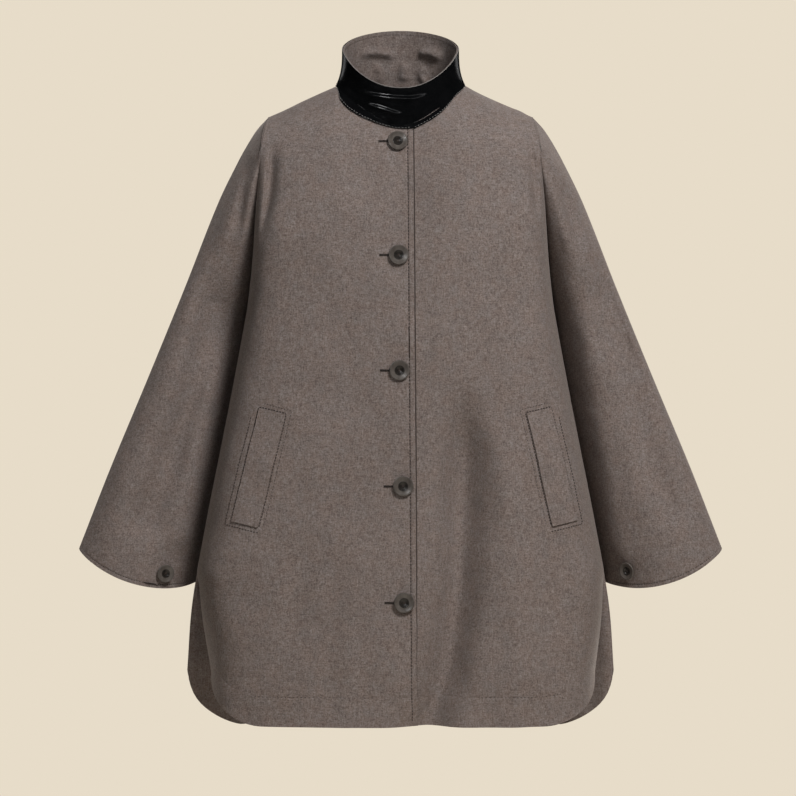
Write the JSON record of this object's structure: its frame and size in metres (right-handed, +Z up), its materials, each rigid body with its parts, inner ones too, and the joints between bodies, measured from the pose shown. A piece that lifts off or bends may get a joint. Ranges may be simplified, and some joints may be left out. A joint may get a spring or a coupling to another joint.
{
  "type": "wool cape coat",
  "caption": "Wool cape coat with wide sleeves that fall from a crease beside the body, a patent leather stand collar, button front, welt pockets and rounded side vents.",
  "frame": {"origin": "the centre of the neck, at the height where the neckline crosses the shoulders, which is where the wearer carries the coat", "axes": "+Z up, -Y towards the front, +X towards the wearer's left"},
  "size_m": [0.866, 0.2975, 0.9511],
  "materials": {
    "wool": "matt grey-brown melange melton",
    "patent_leather": "black, glossy, lightly creased",
    "button": "dark marbled horn, polished, with a paler rim"
  },
  "bodies": {
    "root": {"front_right": "wool", "front_left": "wool", "back": "wool", "sleeve_right": "wool", "sleeve_left": "wool", "collar_inner": "wool", "welt_right": "wool", "welt_left": "wool", "collar_outer": "patent_leather", "button_1": "button", "button_2": "button", "button_3": "button", "button_4": "button", "button_5": "button", "cuff_button_right": "button", "cuff_button_left": "button"}
  },
  "joints": []
}
